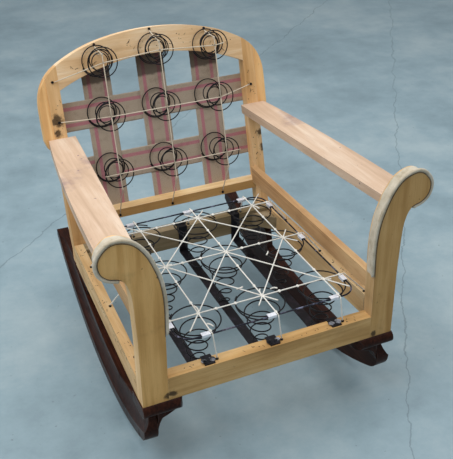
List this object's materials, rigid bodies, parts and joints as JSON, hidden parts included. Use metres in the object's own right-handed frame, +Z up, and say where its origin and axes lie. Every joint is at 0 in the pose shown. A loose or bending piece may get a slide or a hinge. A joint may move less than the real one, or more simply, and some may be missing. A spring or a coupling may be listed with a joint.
{
  "type": "stripped rocking armchair",
  "caption": "Sprung armchair frame with scroll arm posts and an arched back, stripped of its covers, that rocks on two curved moulded rockers.",
  "frame": {"origin": "on the floor, midway between the two places where the rockers touch it at rest", "axes": "+Z up, +Y towards the back of the chair, +X to the right for a viewer in front of it"},
  "size_m": [0.9026, 0.9887, 0.8935],
  "materials": {
    "light_hardwood": "bare, planed",
    "mahogany": "polished",
    "jute_webbing": "woven, rose stripes",
    "cotton_twine": "laid twine",
    "black_spring_steel": "japanned",
    "bright_steel": "bright",
    "blued_steel": "blued",
    "edge_roll_cloth": "unbleached cloth"
  },
  "bodies": {
    "chair": {"back_lashing": "cotton_twine", "back_spring_lower_left": "black_spring_steel", "back_spring_lower_middle": "black_spring_steel", "back_spring_lower_right": "black_spring_steel", "back_spring_middle_left": "black_spring_steel", "back_spring_middle_middle": "black_spring_steel", "back_spring_middle_right": "black_spring_steel", "back_spring_upper_left": "black_spring_steel", "back_spring_upper_middle": "black_spring_steel", "back_spring_upper_right": "black_spring_steel", "bar_washers": "blued_steel", "corner_blocks": "light_hardwood", "crest_rail": "light_hardwood", "front_seat_rail": "light_hardwood", "lashing_nails": "blued_steel", "left_arm_board": "light_hardwood", "left_arm_post": "light_hardwood", "left_back_post": "light_hardwood", "left_back_side_board": "light_hardwood", "left_edge_roll": "edge_roll_cloth", "left_front_bracket": "mahogany", "left_rear_foot": "mahogany", "left_rocker": "mahogany", "left_seat_rail": "light_hardwood", "left_tack_rail": "light_hardwood", "lower_back_rail": "light_hardwood", "rear_seat_rail": "light_hardwood", "right_arm_board": "light_hardwood", "right_arm_post": "light_hardwood", "right_back_post": "light_hardwood", "right_back_side_board": "light_hardwood", "right_edge_roll": "edge_roll_cloth", "right_front_bracket": "mahogany", "right_rear_foot": "mahogany", "right_rocker": "mahogany", "right_seat_rail": "light_hardwood", "right_tack_rail": "light_hardwood", "seat_lashing_ends": "cotton_twine", "seat_spring_front_left": "black_spring_steel", "seat_spring_front_middle": "black_spring_steel", "seat_spring_front_right": "black_spring_steel", "seat_spring_middle_left": "black_spring_steel", "seat_spring_middle_middle": "black_spring_steel", "seat_spring_middle_right": "black_spring_steel", "seat_spring_rear_left": "black_spring_steel", "seat_spring_rear_middle": "black_spring_steel", "seat_spring_rear_right": "black_spring_steel", "spring_bar_left": "black_spring_steel", "spring_bar_middle": "black_spring_steel", "spring_bar_right": "black_spring_steel", "webbing_level_lower": "jute_webbing", "webbing_level_upper": "jute_webbing", "webbing_tacks": "blued_steel", "webbing_upright_left": "jute_webbing", "webbing_upright_middle": "jute_webbing", "webbing_upright_right": "jute_webbing"},
    "deck": {"seat_edge_wire": "black_spring_steel", "edge_wire_clips": "bright_steel", "seat_lashing": "cotton_twine"}
  },
  "joints": [
    {"name": "seat_press", "type": "slide", "parent": "chair", "child": "deck", "axis": [0, 0, -1], "range_m": [0, 0.05], "stiffness_N_per_m": 12000, "springref_m": -0.005, "deforming": ["seat_spring_front_left", "seat_spring_front_middle", "seat_spring_front_right", "seat_spring_middle_left", "seat_spring_middle_middle", "seat_spring_middle_right", "seat_spring_rear_left", "seat_spring_rear_middle", "seat_spring_rear_right", "seat_lashing_ends"]}
  ]
}
